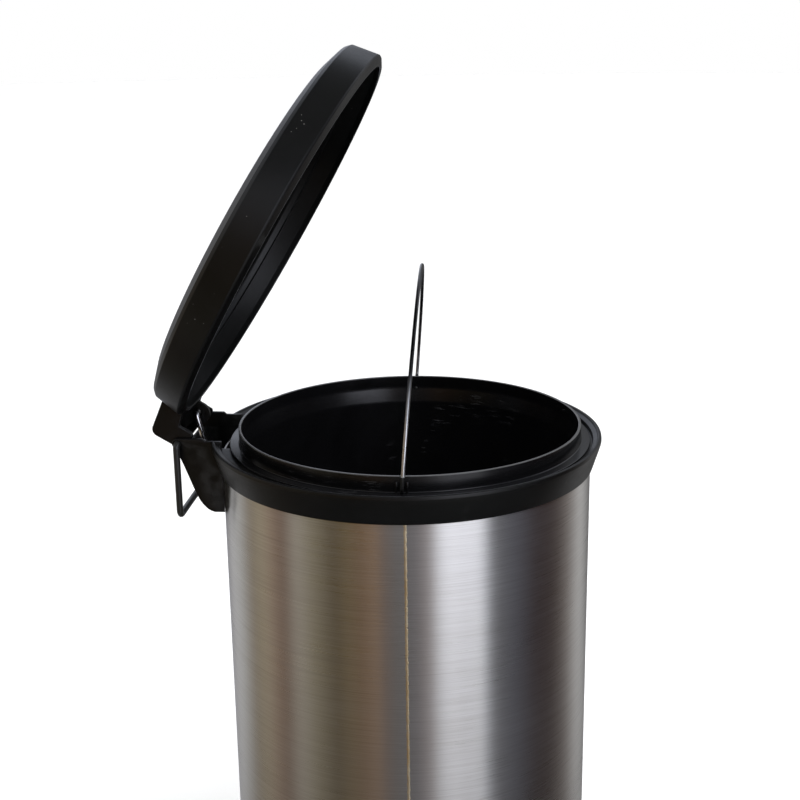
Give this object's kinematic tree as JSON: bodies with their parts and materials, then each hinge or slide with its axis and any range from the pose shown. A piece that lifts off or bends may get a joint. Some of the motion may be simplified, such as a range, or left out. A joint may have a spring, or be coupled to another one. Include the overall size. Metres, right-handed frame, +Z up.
{
  "type": "pedal trash can",
  "caption": "Round pedal trash can: brushed steel barrel, black collar and hinged lid, lift-out bucket with wire bail, rear carry handle and pedal linkage.",
  "frame": {"origin": "centre of the base on the floor", "axes": "+Z up, -Y towards the pedal at the front, +Y towards the lid hinge at the rear, +X along the hinge axis"},
  "size_m": [0.2648, 0.3293, 0.6233],
  "materials": {
    "barrel_steel": "brushed stainless sheet, fine horizontal grain",
    "collar_plastic": "satin black moulding",
    "bucket_plastic": "black moulding, semi-gloss",
    "lid_plastic": "fine-grained satin black outside, glossy inside",
    "bail_wire": "plain drawn steel wire",
    "handle_wire": "black coated steel wire",
    "rod_chrome": "bright plated wire",
    "cap_plastic": "black push-on cap",
    "guide_plastic": "black moulding",
    "zinc_fastener": "zinc plated steel",
    "base_plastic": "satin black moulding",
    "clip_steel": "pressed steel",
    "axle_steel": "turned steel pin",
    "lever_steel": "black painted pressed steel",
    "pedal_plastic": "satin black moulding",
    "foot_rubber": "dull rubber"
  },
  "bodies": {
    "can": {"barrel": "barrel_steel", "collar": "collar_plastic", "bracket_screws": "zinc_fastener", "bucket": "bucket_plastic", "rod_guide": "guide_plastic", "guide_rivets": "zinc_fastener", "base": "base_plastic", "axle_clip_left": "clip_steel", "axle_clip_right": "clip_steel", "clip_screws": "zinc_fastener", "foot_pads": "foot_rubber", "pedal_axle": "axle_steel", "axle_spacers": "guide_plastic", "lever_buffer": "foot_rubber"},
    "lid": {"lid": "lid_plastic"},
    "bail": {"bucket_bail": "bail_wire"},
    "handle": {"carry_handle": "handle_wire"},
    "pedal": {"pedal_lever": "lever_steel", "pedal_pad": "pedal_plastic", "pedal_rivets": "zinc_fastener"},
    "rod": {"push_rod": "rod_chrome", "rod_top_cap": "cap_plastic", "rod_foot_cap": "cap_plastic"}
  },
  "joints": [
    {"name": "lid_hinge", "type": "hinge", "parent": "can", "child": "lid", "pos_m": [0, 0.1485, 0.37], "axis": [-1, 0, 0], "range_deg": [-60, 0]},
    {"name": "pedal_pivot", "type": "hinge", "parent": "can", "child": "pedal", "pos_m": [0, 0.022, 0.021], "axis": [-1, 0, 0], "range_deg": [0, 8.12]},
    {"name": "rod_pivot", "type": "hinge", "parent": "pedal", "child": "rod", "pos_m": [0, 0.10777, 0.0273], "axis": [-1, 0, 0], "range_deg": [-9.55, 0]},
    {"name": "bail_swing", "type": "hinge", "parent": "can", "child": "bail", "pos_m": [0, -0.0025, 0.3704], "axis": [0.9986, 0.0523, 0], "range_deg": [0, 76.9]},
    {"name": "handle_swing", "type": "hinge", "parent": "can", "child": "handle", "pos_m": [0, 0.1485, 0.37], "axis": [1, 0, 0], "range_deg": [-15, 100]}
  ],
  "couplings": [
    {"joint": "pedal_pivot", "follows": "lid_hinge", "ratio": -0.13535},
    {"joint": "rod_pivot", "follows": "lid_hinge", "ratio": 0.15918},
    {"joint": "bail_swing", "follows": "lid_hinge", "ratio": -1.2817}
  ]
}
